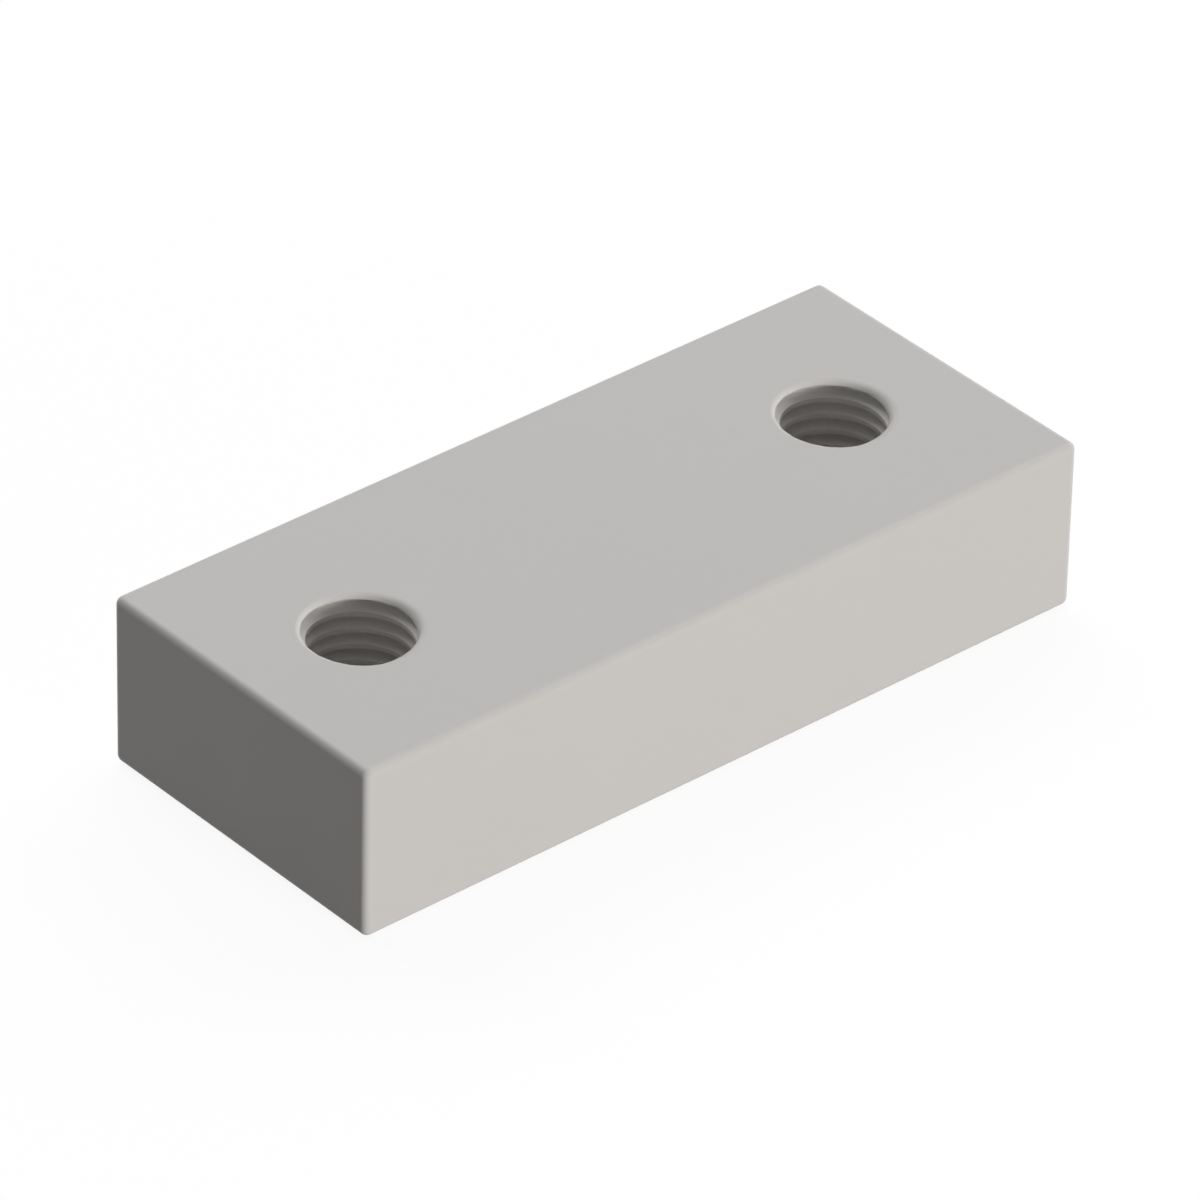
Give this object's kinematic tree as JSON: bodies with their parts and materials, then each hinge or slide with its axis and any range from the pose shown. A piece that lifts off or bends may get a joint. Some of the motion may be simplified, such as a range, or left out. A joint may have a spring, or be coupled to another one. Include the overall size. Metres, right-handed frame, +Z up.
{
  "type": "threaded block",
  "caption": "Flat rectangular steel block with rounded edges and tapped through holes on its centre line, for clamping or joining parts with screws.",
  "frame": {"origin": "centre of the bottom face", "axes": "+X along the length through both tapped holes, +Y across the width, +Z up through the thickness"},
  "size_m": [0.085, 0.036, 0.018],
  "materials": {
    "steel": "satin, plain machined steel"
  },
  "bodies": {
    "root": {"block": "steel"}
  },
  "joints": []
}
